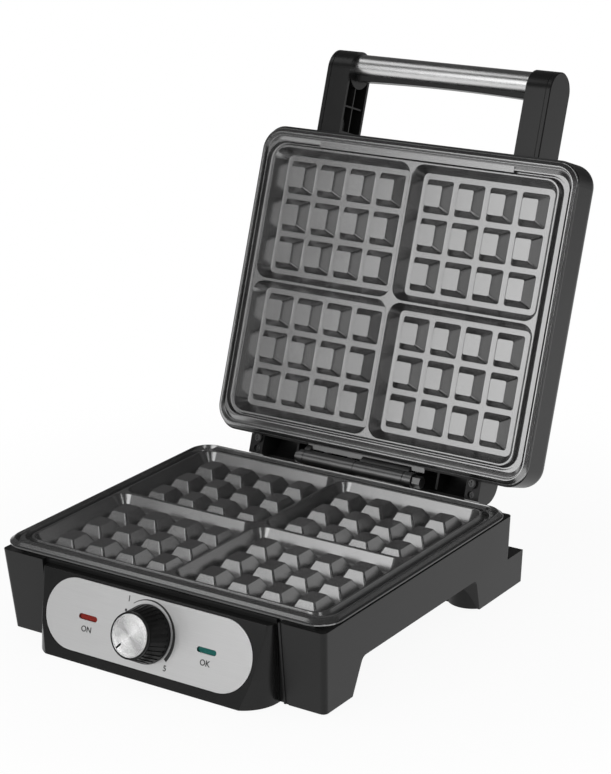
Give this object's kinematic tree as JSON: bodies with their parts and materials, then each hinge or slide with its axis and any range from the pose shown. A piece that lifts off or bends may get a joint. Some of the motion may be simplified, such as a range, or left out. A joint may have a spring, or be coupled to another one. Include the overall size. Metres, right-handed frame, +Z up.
{
  "type": "waffle maker",
  "caption": "Table-top Belgian waffle maker, open: hinged lid with bail handle, cast plates with cells and knobs, sloped control panel with a rotary temperature knob and two lights.",
  "frame": {"origin": "on the table, under the middle of the open shape's bounding box", "axes": "+Z up, -Y towards the user and the control panel, +X to the user's right"},
  "size_m": [0.256, 0.3904, 0.3277],
  "materials": {
    "black_shell": "satin moulded black, glass-filled nylon or ABS",
    "black_trim": "semi-gloss moulded black",
    "cover_sheet": "black coated sheet steel",
    "nonstick": "cast aluminium under a dark satin non-stick coating",
    "steel": "brushed stainless steel",
    "plated_steel": "zinc plated steel",
    "black_steel": "black painted steel",
    "spun_aluminium": "spun aluminium cap",
    "element_sheath": "oxidised steel sheath",
    "tray_sheet": "aluminised steel sheet",
    "rubber": "black silicone rubber",
    "red_lens": "translucent red lens",
    "green_lens": "translucent green lens",
    "lamp": "neon lamp",
    "white_block": "heat-proof pale moulding"
  },
  "bodies": {
    "base": {"base_housing": "black_shell", "bottom_cover": "cover_sheet", "bottom_cover_screws": "plated_steel", "rubber_feet": "rubber", "control_fascia": "black_trim", "fascia_screws": "plated_steel", "panel_plate": "steel", "power_lens": "red_lens", "ready_lens": "green_lens", "indicator_lamps": "lamp", "lamp_holders": "white_block", "thermostat": "white_block", "thermostat_nut": "plated_steel", "lower_plate": "nonstick", "lower_heating_element": "element_sheath", "lower_reflector": "tray_sheet", "lower_plate_screws": "plated_steel", "thermal_fuse": "white_block", "terminal_block": "white_block", "cord_gland": "rubber", "base_hinge_leaf": "black_steel", "base_hinge_screws": "plated_steel", "hinge_pin": "black_steel", "hinge_clip": "black_steel"},
    "lid": {"lid_housing": "black_shell", "hood_screws": "plated_steel", "upper_plate": "nonstick", "upper_heating_element": "element_sheath", "upper_reflector": "tray_sheet", "upper_plate_screws": "plated_steel", "lid_hinge_leaf": "black_steel", "lid_hinge_screws": "plated_steel", "handle_arm_right": "black_trim", "handle_arm_left": "black_trim", "arm_cover_right": "black_trim", "arm_cover_left": "black_trim", "arm_screws": "plated_steel", "handle_tube": "steel", "handle_core": "black_shell", "handle_saddle": "black_shell", "handle_screws": "plated_steel"},
    "knob": {"control_knob": "black_trim", "knob_cap": "spun_aluminium", "knob_pointer": "black_trim", "thermostat_shaft": "plated_steel"}
  },
  "joints": [
    {"name": "lid_hinge", "type": "hinge", "parent": "base", "child": "lid", "pos_m": [0, 0.06346, 0.06175], "axis": [1, 0, 0], "range_deg": [0, 109.7]},
    {"name": "knob_turn", "type": "hinge", "parent": "base", "child": "knob", "pos_m": [-0.0015, -0.17447, 0.02927], "axis": [0, 0.9511, -0.309], "range_deg": [0, 270]}
  ]
}
